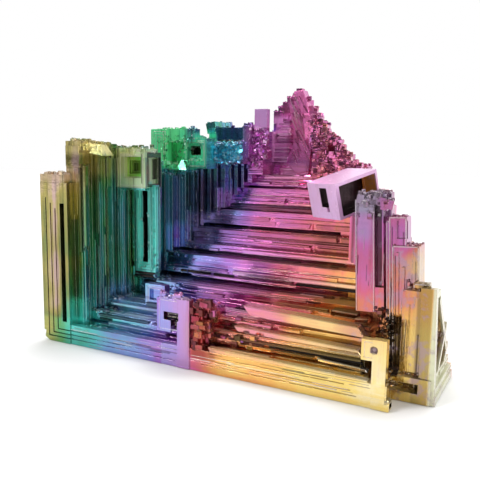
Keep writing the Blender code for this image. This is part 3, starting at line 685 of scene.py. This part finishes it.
floorLedges = {
    "seed": 11,
    "courses": [
        {
            "look": fromFront, "run": 0, "keep": inHollow,
            "low": (8, 3, 3.3), "high": (66, 37.5, 35.6),
            # up to a height: how pale or dark its courses are, the dark ones painted shade on
            # shadowed gaps and treads, and how thick
            "bands": [
                (4.2, 0.1, (0.4, 0.6)), (6.1, -0.75, (0.4, 0.7)),
                (8, -0.7, (0.4, 0.7)), (9, -0.05, (0.8, 1)),
                (10.9, -0.45, (0.35, 0.6)), (11.6, -0.85, (0.35, 0.5)),
                (12, 0.1, (0.4, 0.5)), (13.3, -0.9, (0.5, 0.7)),
                (16.4, 0.15, (0.7, 1.3, 1.8)), (17.1, -0.9, (0.35, 0.5)),
                (18.5, 0.1, (0.7, 1.2)), (21.4, -0.35, (0.3, 0.5, 0.8)),
                (22.2, -0.95, (0.35, 0.5)), (25.1, -0.25, (0.35, 0.6, 1)),
                (26.5, -0.85, (0.4, 0.6)), (29.8, 0, (0.4, 0.7, 1)),
                (30.4, -0.9, (0.35, 0.5)), (32.4, 0.1, (0.4, 0.7, 1)),
                (33, -0.8, (0.35, 0.5)), (40, 0.05, (0.4, 0.8)),
            ],
            "gap": (0.04, 0.16), "proud": (0.1, 0.65), "even": 0.5,
            "length": (1.6, 46.0), "pause": (0.0, 0.0, 0.4, 1.0), "skip": 0.06,
            "shift": 0.014, "tone": (-0.25, -0.1, 0.0, 0.0, 0.1), "cut": 0.07,
        },
        {
            "look": fromTop, "run": 0, "keep": inHollow,
            "low": (8, 3, 3), "high": (66, 37.5, 36),
            "thick": (0.4, 0.8, 1.2, 1.8), "gap": (0.03, 0.12), "proud": (0.05, 0.22), "even": 0.3,
            # between two heights: how pale or dark a tread is, the dark ones painted shade on
            # treads deep in the hollow
            "treads": [
                (6, 6.9, 0.25), (8, 8.9, 0.25), (11.4, 12.4, 0.15),
                (16.4, 17.2, -0.6), (18.3, 19, 0.1), (25, 25.8, -0.5),
                (29.6, 30.4, -0.6),
            ],
            "length": (1.6, 40.0), "pause": (0.0, 0.0, 0.4, 1.0), "skip": 0.15,
            "shift": 0.014, "tone": (-0.1, 0.0, 0.0, 0.1), "cut": 0.07,
        },
    ],
    # long ledges in the front cells: low corner, high corner, turn about the depth, how pale
    "cellLedges": [
        ((42.3, 6.4, 8.95), (63.0, 9.0, 10.55), 2.2, 0.15),
        ((41.0, 4.9, 6.35), (63.3, 7.0, 7.25), 1.6, 0.20),
        ((57.0, 3.2, 4.4), (65.0, 4.5, 4.85), 3.0, 0.45),
        ((38.5, 0.3, 3.35), (66.4, 1.6, 4.3), 0.8, 0.15),
        ((13.0, 4.6, 5.3), (26.5, 6.4, 5.9), 1.0, 0.15),
        ((14.5, 2.6, 4.0), (27.8, 4.2, 4.7), 1.0, 0.10),
    ],
    "ledgeCut": 0.12,
    "ledgeSlant": -0.9,
}


# the courses of one piece
def layPiece(name, piece):
    crust = Crust(name, piece["seed"])
    for plan in piece["courses"]:
        layCourses(crust, plan)
    return crust


def growFloor(material):
    crust = layPiece("floor_ledges", floorLedges)
    cut, slant = floorLedges["ledgeCut"], floorLedges["ledgeSlant"]
    for low, high, lean, tone in floorLedges["cellLedges"]:
        crust.block(low, high, cut, turn=(0, lean, 0), slant=slant, tone=tone)
    crust.finish(material)


wallFlutes = {
    "seed": 12,
    "courses": [
        {
            "look": fromRight, "run": 2,
            "low": (6, 2.2, 4), "high": (27, 37, 36.5),
            "thick": (0.15, 0.3, 0.6, 1.0, 1.5), "gap": (0.05, 0.35), "proud": (0.1, 0.5),
            "even": 0.5, "length": (4.0, 34.0), "pause": (0.0, 0.0, 0.6, 1.5), "skip": 0.15,
            "shift": 0.035, "tone": (-0.7, -0.4, -0.1, 0.0, 0.0, 0.12), "cut": 0.06,
        },
        {
            "look": fromFront, "run": 2,
            "low": (3, 1.9, 4), "high": (22, 30, 39),
            "thick": (0.12, 0.25, 0.5, 0.9), "gap": (0.1, 0.6), "proud": (0.04, 0.25),
            "even": 0.35, "length": (3.0, 28.0), "pause": (0.0, 0.6, 1.5), "skip": 0.25,
            "shift": 0.03, "tone": (-0.6, -0.3, 0.0, 0.0, 0.0, 0.15), "cut": 0.05,
        },
    ],
}


def sideCourse(look, run, low, high, keep=anywhere):
    return {
        "look": look, "run": run, "low": low, "high": high, "keep": keep,
        "thick": (0.2, 0.35, 0.6), "gap": (0.1, 0.9), "proud": (0.04, 0.2), "even": 0.3,
        "length": (2.0, 18.0), "pause": (0.0, 1.0, 3.0), "skip": 0.4,
        "shift": 0.035, "tone": (-0.4, -0.2, 0.0, 0.0, 0.1, 0.3), "cut": 0.05,
    }


topStart = 30.0  # how deep in the crystal the growths on its top begin, mm


def behindHollow(x, y, z):
    return not inHollow(x, y, z) and y > topStart


sideGrowths = {
    "seed": 16,
    "courses": [
        sideCourse(fromLeft, 2, (-0.5, 2, 3), (14, 34, 40)),
        sideCourse(fromLeft, 1, (-0.5, 34, 1), (40, 49, 50)),
        sideCourse(fromBehind, 0, (2, 26, 1), (74, 50.5, 50)),
        sideCourse(fromRight, 1, (36, 12, 1), (75.5, 49, 48)),
        sideCourse(fromTop, 0, (2, 30, 1), (74, 50, 50), behindHollow),
    ],
}


crumbs = {
    "seed": 13,
    "shape": (0.5, 1.2),  # each side of a crumb as a share of its size
    "lift": (-0.3, 0.7),  # how far it stands out of its face, as a share of its half size
    "cut": 0.06,
    "slack": 0.01,  # how far outside its region a face may lie, mm
    "spread": 0.03,
    # look, how many, low and high corner of the region, sizes, most turn, tones and, where it
    # isn't the usual one, the spread of colour
    "fields": [
        # the corner between the left wall and the floor, from the front to the back
        (fromTop, 260, (8, 2.5, 3), (13.5, 13, 12), (0.25, 0.8), 20, (-0.35, 0.4)),
        (fromTop, 300, (11.5, 13, 8), (20, 26, 24), (0.25, 0.7), 20, (-0.3, 0.4)),
        (fromFront, 220, (12, 10, 9), (24, 30, 26), (0.2, 0.6), 20, (-0.35, 0.4)),
        # the tops of the plates on the left
        (fromTop, 420, (4.5, 2.2, 33), (19, 22, 41.5), (0.3, 1.1), 9, (-0.4, 0.35), 0.05),
        (fromTop, 50, (0.3, 0.2, 30), (6.3, 2, 33.5), (0.3, 0.9), 5, (0, 0.2)),
        (fromTop, 240, (9, 20, 33), (24, 31, 43), (0.25, 0.7), 10, (-0.4, 0.4)),
        (fromFront, 200, (12, 20, 33.5), (23, 27, 41), (0.2, 0.6), 20, (-0.7, 0.4), 0.05),
        (fromTop, 160, (13, 17, 32), (20, 24, 37), (0.3, 0.9), 12, (-0.6, 0.3), 0.04),
        # the cup, the cluster under it and the clusters beside it
        (fromFront, 300, (22, 24, 35.3), (30.4, 28, 39.4), (0.25, 0.8), 40, (-0.7, 0.4), 0.04),
        (fromTop, 120, (21, 26.5, 38), (31.2, 36, 44.5), (0.25, 0.7), 15, (-0.5, 0.4)),
        (fromFront, 340, (29.5, 27.5, 34.5), (36, 34, 43), (0.25, 0.9), 24, (-0.6, 0.35)),
        # the peak and the crumbling stair
        (fromTop, 160, (31, 34.5, 40), (36.5, 44, 51), (0.25, 0.6), 8, (-0.5, 0.1)),
        (fromFront, 800, (42, 24, 33), (56, 41, 49), (0.3, 1), 8, (-0.75, 0.1), 0.02),
        (fromTop, 700, (39.6, 24, 33), (56, 42, 49.5), (0.3, 0.95), 8, (-0.45, 0.15), 0.02),
        # the rough side of the divider
        (fromFront, 100, (34.8, 0.8, 1.5), (38.5, 6, 12.5), (0.5, 1.5), 8, (-0.85, -0.1), 0.05),
        (fromFront, 170, (37, 1.5, 4), (46, 9, 11.5), (0.3, 1.1), 10, (-0.9, -0.1), 0.05),
        (fromTop, 160, (33, 0.5, 8), (37.5, 10, 13), (0.25, 0.7), 12, (-0.6, 0.2), 0.04),
        (fromTop, 60, (28, 0.1, 11.5), (34.4, 1.4, 13), (0.25, 0.7), 12, (0, 0.3)),
        # the tops of the columns
        (fromTop, 90, (60.4, 10, 27), (66, 15, 32), (0.3, 0.9), 4, (0, 0.35)),
        (fromFront, 24, (60.6, 9, 27.5), (66, 13, 30.6), (0.3, 0.9), 4, (-0.3, 0.3)),
        (fromTop, 160, (66, 6, 16), (74, 16, 29), (0.2, 0.5), 8, (-0.2, 0.3)),
        # the side cell and the cell at the lower right
        (fromRight, 600, (69, 6.5, 2.4), (73.2, 20, 17), (0.25, 0.9), 20, (-0.85, 0.2)),
        (fromFront, 260, (67.4, 5.5, 1.4), (72.6, 9, 4.2), (0.2, 0.6), 14, (-0.5, 0.35)),
        (fromFront, 200, (64, 3, 3.8), (67.6, 14, 13), (0.25, 0.8), 10, (-0.95, -0.5)),
        # the knob at the foot of the right hook
        (fromFront, 40, (67.6, 0.3, 0.3), (69.6, 3, 2), (0.4, 0.9), 30, (-0.6, 0.2)),
    ],
    # low corner, high corner, turn about the depth, how much is cut off its edges, tone
    "lumps": [
        ((67.9, 0.02, 0.05), (69.5, 1.9, 1.7), 0, 0.40, -0.40),
        ((68.0, 0.05, 1.5), (68.9, 0.9, 2.3), 8, 0.20, -0.10),
        ((68.5, -0.02, 0.6), (69.1, 0.6, 1.1), 45, 0.10, 0.35),
        ((55.6, 12.5, 9.6), (60.6, 14.2, 10.8), 1.5, 0.25, -0.80),
        ((55.9, 12.35, 10.5), (60.4, 13.0, 10.7), 1.5, 0.05, 0.30),
        ((56.4, 12.4, 9.75), (60.6, 13.0, 9.9), 1.5, 0.05, 0.10),
        ((60.3, 11.2, 9.5), (62.6, 13.0, 10.3), -4.0, 0.20, 0.15),
        ((60.9, 10.9, 8.6), (63.2, 12.6, 9.3), 6.0, 0.20, 0.05),
    ],
}


# small turned blocks on whatever a look meets in a region
def strewCrumbs(crust, look, count, lowest, highest, sides, mostTurn, tones, spread=None):
    dice = crust.dice
    axis, way = look
    for _ in range(count):
        start = [dice.uniform(low, high) for low, high in zip(lowest, highest)]
        start[axis] = lowest[axis] if way > 0 else highest[axis]
        side = dice.uniform(*sides)
        shape = [side * dice.uniform(*crumbs["shape"]) / 2 for _ in range(3)]
        turn = [dice.uniform(-mostTurn, mostTurn) for _ in range(3)]
        shift, tone = dice.gauss(0, spread or crumbs["spread"]), dice.uniform(*tones)
        lift = dice.uniform(*crumbs["lift"])
        face = meet(start, look)
        slack = crumbs["slack"]
        if face is None or not lowest[axis] - slack <= face <= highest[axis] + slack:
            continue
        start[axis] = face - way * lift * shape[axis]
        low = [place - reach for place, reach in zip(start, shape)]
        high = [place + reach for place, reach in zip(start, shape)]
        crust.block(low, high, crumbs["cut"], turn=turn, shift=shift, tone=tone)


def growCrumbs(material):
    crust = Crust("growth_crumbs", crumbs["seed"])
    for low, high, lean, cut, tone in crumbs["lumps"]:
        crust.block(low, high, cut, turn=(0, lean, 0), tone=tone)
    for field in crumbs["fields"]:
        strewCrumbs(crust, *field)
    crust.finish(material)


def fleckPlan(low, high, run, skip, length, tone, keep=anywhere):
    return {
        "look": fromFront, "run": run, "low": low, "high": high, "keep": keep,
        "thick": (0.08, 0.12, 0.2), "gap": (0.05, 0.3), "proud": (0.03, 0.12), "even": 0.2,
        "length": length, "pause": (0.0, 1.0, 3.0), "skip": skip,
        "shift": 0.03, "tone": tone, "cut": 0.04,
    }


outlines = {
    "seed": 14,
    # the bars of a frame, in mm, their tone and how much their colour varies
    "thick": 0.16, "proud": 0.07, "root": 0.25, "cut": 0.05, "tone": 0.45, "shift": 0.02,
    # left, right, low and high edge of a plate that faces the front, its depth, and how far in
    # each frame on it stands
    "plates": [
        (10.3, 14.4, 34.3, 42.3, 22.1, (0.35, 0.9, 1.5)),
        (18.4, 23.7, 34.4, 40.3, 22.8, (0.25,)),
        (19.2, 23.0, 36.0, 39.6, 22.8, (-0.15,)),
        (11.0, 17.6, 30.2, 37.3, 10.0, (0.25, 0.6)),
        (19.7, 24.1, 7.6, 12.2, 7.4, (0.25, 0.6)),
        (28.0, 34.2, 6.3, 12.0, 0.1, (0.2,)),
        (65.2, 68.6, 7.5, 10.4, 0.1, (0.2,)),
    ],
    # left, right, front, back, bottom and top of a leaning column, and how many of the lines
    # below it has
    "columns": [
        (60.4, 63.6, 10.0, 14.5, 12.0, 30.3, 3),
        (65.5, 68.4, 10.2, 15.0, 11.0, 27.2, 6),
        (66.5, 69.3, 8.9, 11.6, 2.0, 28.0, 6),
        (67.2, 71.4, 8.5, 12.5, 1.5, 23.6, 6),
        (71.0, 73.4, 6.9, 8.6, 1.0, 18.3, 6),
    ],
    "columnLean": -2.8,  # degrees
    "columnProud": 0.14,
    # a line's place across and up from the middle of the column's front, then its half width
    # and half height: each as a share of the column's half size and what is added in mm; tone
    "columnLines": [
        ((-1, 0.16), (0, 0), (0, 0.10), (1, -0.1), 0.40),
        ((1, -0.16), (0, 0), (0, 0.10), (1, -0.1), 0.45),
        ((0, 0), (1, -0.16), (1, -0.1), (0, 0.10), 0.45),
        ((-1, 0.52), (0, -0.4), (0, 0.05), (1, -1.2), -0.50),
        ((1, -0.55), (0, -0.6), (0, 0.05), (1, -1.8), -0.40),
        ((0.1, 0), (-0.2, 0), (0, 0.14), (0.6, 0), 0.12),
    ],
    # thin lines in the hollow, on the rim, up the left leg and up the columns
    "flecks": [
        fleckPlan((9, 3, 3.5), (66, 37, 35), 0, 0.90, (4.0, 26.0), (0.35, 0.55), inHollow),
        fleckPlan((0.8, 0.1, 1.7), (67, 0.5, 3.8), 0, 0.78, (0.6, 12.0), (-0.5, 0.3, 0.5)),
        fleckPlan((0.8, 0.1, 0.4), (64, 0.5, 3.6), 0, 0.82, (1.5, 9.0), (0.6, 0.6)),
        fleckPlan((0.1, 0.1, 4), (6.8, 0.5, 32.8), 2, 0.60, (0.8, 9.0), (-0.5, -0.3, 0.3)),
        fleckPlan((60, 6.5, 1), (74, 12, 30), 2, 0.80, (0.8, 7.0), (-0.5, -0.2, 0.2, 0.35)),
    ],
}


# lines along the edges and down the fronts of the leaning columns
def outlineColumns(crust):
    turn = (0, outlines["columnLean"], 0)
    lean = turnMatrix(turn)
    for left, right, front, back, bottom, top, count in outlines["columns"]:
        middle = Vector(((left + right) / 2, (front + back) / 2, (bottom + top) / 2))
        wide, deep, tall = (right - left) / 2, (back - front) / 2, (top - bottom) / 2
        for *measures, tone in outlines["columnLines"][:count]:
            across, up, halfWide, halfTall = [
                share * size + more for (share, more), size in zip(measures, (wide, tall) * 2)
            ]
            place = middle + lean @ Vector((across, -deep, up))
            half = Vector((halfWide, outlines["columnProud"], halfTall))
            crust.block(place - half, place + half, outlines["cut"], turn=turn, tone=tone)


# thin frames that follow the edges of flat plates
def framePlate(crust, left, right, bottom, top, face):
    thick = outlines["thick"]
    bars = [
        (left, bottom, right, bottom + thick),
        (left, top - thick, right, top),
        (left, bottom, left + thick, top),
        (right - thick, bottom, right, top),
    ]
    for lowX, lowZ, highX, highZ in bars:
        low = (lowX, face - outlines["proud"], lowZ)
        high = (highX, face + outlines["root"], highZ)
        shift = crust.dice.gauss(0, outlines["shift"])
        crust.block(low, high, outlines["cut"], shift=shift, tone=outlines["tone"])


def growOutlines(material):
    crust = Crust("plate_outlines", outlines["seed"])
    for left, right, bottom, top, face, insets in outlines["plates"]:
        for inset in insets:
            framePlate(crust, left + inset, right - inset, bottom + inset, top - inset, face)
    outlineColumns(crust)
    for plan in outlines["flecks"]:
        layCourses(crust, plan)
    crust.finish(material)


peak = {
    "seed": 15,
    # corners of the smooth faces on the plane that leans back to the tip: x, z
    "faces": [
        [(37.0, 50.8), (35.8, 48.5), (37.5, 43.2), (37.9, 39.6), (36.7, 35.4), (39.4, 33.3),
         (42.1, 33.8), (42.1, 38.4), (41.2, 44.8), (40.2, 48.4), (39.0, 51.0)],
        [(39.7, 48.7), (40.8, 44.9), (41.6, 38.4), (41.7, 33.6), (43.9, 34.2), (43.1, 41.3),
         (42.1, 44.9)],
    ],
    "fronts": (33.7, 34.4),  # how deep in the crystal each plane stands at its foot
    "foot": 32.0,
    "lean": 0.17,  # how far back a plane leans for each millimetre of height
    "cuts": ((0.18, 0.0), (0.0, 0.16)),  # how far in and back the rings of the cut edge stand
    "thick": 2.6,
    # folds: how many are tried, where, half length and width, degrees from level, how proud
    "folds": 110, "foldX": (35.8, 42.0), "foldZ": (33.5, 50.6),
    "foldLength": (0.8, 2.6), "foldWidth": (0.08, 0.2), "foldSlope": (52, 74),
    "foldProud": 0.22, "foldCut": 0.06, "foldTones": (-0.45, -0.25, 0.1, 0.3),
    # bars left of the peak: the lowest one's place, what each adds, and how far one may stray
    "bars": 22,
    "barLow": (35.2, 0.43, (-0.1, 0.1)), "barLeft": (31.0, 0.18, (-0.6, 0.8)),
    "barFront": (34.3, (0.1, 0.5)),
    # their right ends, how fast these draw in above a height, and how far they stray
    "barRight": (37.0, 0.25, 42.0, (0.0, 0.6)),
    "barThick": (0.18, 0.4), "barCut": 0.07, "barSlant": 0.4,
    "barTones": (-0.5, -0.2, 0.0, 0.15, 0.3),
}


def peakDepth(front, z):
    return front + (z - peak["foot"]) * peak["lean"]


# the smooth leaning faces of the peak, as one piece with cut edges
def growPeakFace(material):
    shape = bmesh.new()
    for front, outline in zip(peak["fronts"], peak["faces"]):
        middle = [sum(corner[axis] for corner in outline) / len(outline) for axis in (0, 1)]
        rings = []
        for inset, back in (*peak["cuts"], (0.0, peak["thick"])):
            ring = []
            for x, z in outline:
                away = Vector((x - middle[0], z - middle[1]))
                away -= away.normalized() * inset
                x, z = middle[0] + away.x, middle[1] + away.y
                ring.append(shape.verts.new(toFrame((x, peakDepth(front, z) + back, z))))
            rings.append(ring)
        shape.faces.new(rings[0])
        shape.faces.new(rings[-1][::-1])
        for near, far in zip(rings, rings[1:]):
            for corner in range(len(outline)):
                after = (corner + 1) % len(outline)
                shape.faces.new((near[corner], near[after], far[after], far[corner]))
    bmesh.ops.recalc_face_normals(shape, faces=shape.faces)
    mesh = bpy.data.meshes.new("peak_face")
    shape.to_mesh(mesh)
    shape.free()
    addPiece("peak_face", mesh, material)
    print("peak_face grown")


def insideOutline(outline, x, z):
    inside = False
    for (x0, z0), (x1, z1) in zip(outline, outline[1:] + outline[:1]):
        if (z0 > z) != (z1 > z) and x < x0 + (z - z0) * (x1 - x0) / (z1 - z0):
            inside = not inside
    return inside


# folds that run steeply down the peak
def foldPeak(crust):
    dice = crust.dice
    for _ in range(peak["folds"]):
        x, z = dice.uniform(*peak["foldX"]), dice.uniform(*peak["foldZ"])
        long, wide = dice.uniform(*peak["foldLength"]), dice.uniform(*peak["foldWidth"])
        slope = math.radians(dice.uniform(*peak["foldSlope"]))
        reach = Vector((math.cos(slope), -math.sin(slope))) * long
        ends = [(x - reach.x, z - reach.y), (x + reach.x, z + reach.y)]
        if not all(insideOutline(peak["faces"][0], *end) for end in ends):
            continue
        tone = dice.choice(peak["foldTones"])
        middle = Vector((x, peakDepth(peak["fronts"][0], z), z))
        half = Vector((long, peak["foldProud"], wide))
        turn = (0, math.degrees(slope), 0)
        crust.block(middle - half, middle + half, peak["foldCut"], turn=turn, tone=tone)


# bars one above the other, to the left of the peak
def stackBars(crust):
    dice = crust.dice
    foot, rise, stray = peak["barLow"]
    leftmost, drawIn, leftStray = peak["barLeft"]
    front, frontStray = peak["barFront"]
    rightmost, taper, taperStart, rightStray = peak["barRight"]
    for index in range(peak["bars"]):
        low = foot + rise * index + dice.uniform(*stray)
        left = leftmost + drawIn * index + dice.uniform(*leftStray)
        near = peakDepth(front, low) - dice.uniform(*frontStray)
        right = rightmost - taper * max(0.0, low - taperStart) + dice.uniform(*rightStray)
        high = (right, near + peak["thick"], low + dice.uniform(*peak["barThick"]))
        tone = dice.choice(peak["barTones"])
        crust.block((left, near, low), high, peak["barCut"], slant=peak["barSlant"], tone=tone)


def growPeakRidges(material):
    crust = Crust("peak_ridges", peak["seed"])
    foldPeak(crust)
    stackBars(crust)
    crust.finish(material)


view = {
    "lens": 45.0,
    "sensor": 36.0,
    "azimuth": 28.5,  # degrees to the right of the front
    "elevation": 8.0,
    "roll": 0.8,
    "position": (89.96, -83.98, 36.99),  # mm, as all places on the crystal
    "nearest": 0.001,  # metres
}


def makeCamera():
    camera = bpy.data.objects.new("camera", bpy.data.cameras.new("camera"))
    bpy.context.collection.objects.link(camera)
    side, lift, roll = (math.radians(view[key]) for key in ("azimuth", "elevation", "roll"))
    level = math.cos(lift)
    back = Vector((math.sin(side) * level, -math.cos(side) * level, math.sin(lift)))
    right = Vector((math.cos(side), math.sin(side), 0))
    up = back.cross(right)
    tiltedRight = right * math.cos(roll) + up * math.sin(roll)
    tiltedUp = up * math.cos(roll) - right * math.sin(roll)
    turn = Matrix((tiltedRight, tiltedUp, back)).transposed().to_4x4()
    camera.matrix_world = Matrix.Translation(toFrame(view["position"])) @ turn
    camera.data.lens = view["lens"]
    camera.data.sensor_width = view["sensor"]
    camera.data.clip_start = view["nearest"]
    bpy.context.scene.camera = camera


stage = {
    "reach": 2.0,  # metres of floor each way
    "gap": 0.0001,  # metres between the floor and the crystal
    "colour": (0.93, 0.93, 0.93),
    "roughness": 0.9,
    "fade": (0.5, 1.3),  # metres from the middle, where the floor melts into the backdrop
}


def makeStage():
    shape = bmesh.new()
    bmesh.ops.create_grid(shape, x_segments=1, y_segments=1, size=stage["reach"])
    mesh = bpy.data.meshes.new("floor")
    shape.to_mesh(mesh)
    shape.free()
    floor = bpy.data.objects.new("floor", mesh)
    floor.location.z = -stage["gap"]
    bpy.context.collection.objects.link(floor)
    material, graph = newMaterial("floor_paint")
    paintInputs = {"Base Color": linear(stage["colour"]), "Roughness": stage["roughness"]}
    paint = graph.node("ShaderNodeBsdfPrincipled", {}, paintInputs)
    clear = graph.node("ShaderNodeBsdfTransparent")
    spot = graph.node("ShaderNodeTexCoord", {}, output=3)
    away = graph.vector("LENGTH", spot, output=1).rise(*stage["fade"])
    blend = graph.node("ShaderNodeMixShader", {}, [away, paint, clear])
    graph.node("ShaderNodeOutputMaterial", {}, {"Surface": blend})
    mesh.materials.append(material)


studio = {
    "aim": (0, 0, 0.02),  # metres, where every softbox points
    # softboxes: name, place and size in metres, power in watts
    "softboxes": [
        ("key_light", (-1.05, -1.35, 1.35), (0.60, 0.60), 22.0),
        ("side_light", (1.65, -0.30, 0.60), (0.45, 1.05), 11.0),
        ("top_light", (0.0, 0.75, 1.8), (1.8, 0.9), 26.0),
    ],
    # the room is pale behind the crystal, half as pale above it, dimmer on the camera's side
    "dim": 0.12,
    "pale": 0.90,
    "behind": (-0.35, 0.45),
    "above": (0.1, 0.9),
    "aboveShare": 0.5,
}


def addSoftbox(name, place, size, power):
    light = bpy.data.lights.new(name, "AREA")
    light.shape = "RECTANGLE"
    light.size, light.size_y = size
    light.energy = power
    lamp = bpy.data.objects.new(name, light)
    lamp.location = place
    aim = Vector(studio["aim"]) - Vector(place)
    lamp.rotation_euler = aim.to_track_quat("-Z", "Y").to_euler()
    bpy.context.collection.objects.link(lamp)


def makeLight():
    world = bpy.data.worlds.new("studio")
    bpy.context.scene.world = world
    world.use_nodes = True
    graph = Graph(world.node_tree)
    direction = graph.node("ShaderNodeTexCoord", {}, output=0)
    _, dy, dz = graph.split(direction)
    above = dz.rise(*studio["above"]) * studio["aboveShare"]
    pale = dy.rise(*studio["behind"]).math("MAXIMUM", above)
    glow = studio["dim"] + studio["pale"] * pale
    seen = graph.node("ShaderNodeLightPath", output=0)
    glow = graph.mixValue(seen, glow, 1.0)  # the backdrop itself is pale on every side
    shadeInputs = {"Color": (1.0, 1.0, 1.0, 1.0), "Strength": glow}
    shade = graph.node("ShaderNodeBackground", {}, shadeInputs)
    graph.node("ShaderNodeOutputWorld", {}, {"Surface": shade})
    for softbox in studio["softboxes"]:
        addSoftbox(*softbox)
    settings = bpy.context.scene.view_settings
    settings.view_transform = "Standard"
    settings.look = "None"


makeCamera()
makeStage()
makeLight()
print("camera, floor and light made")

bismuthFilm = filmMaterial()
crystalNode.data.materials.clear()
crystalNode.data.materials.append(bismuthFilm)
print("film made")
growFloor(bismuthFilm)
layPiece("wall_flutes", wallFlutes).finish(bismuthFilm)
layPiece("side_growths", sideGrowths).finish(bismuthFilm)
growCrumbs(bismuthFilm)
growOutlines(bismuthFilm)
growPeakFace(bismuthFilm)
growPeakRidges(bismuthFilm)
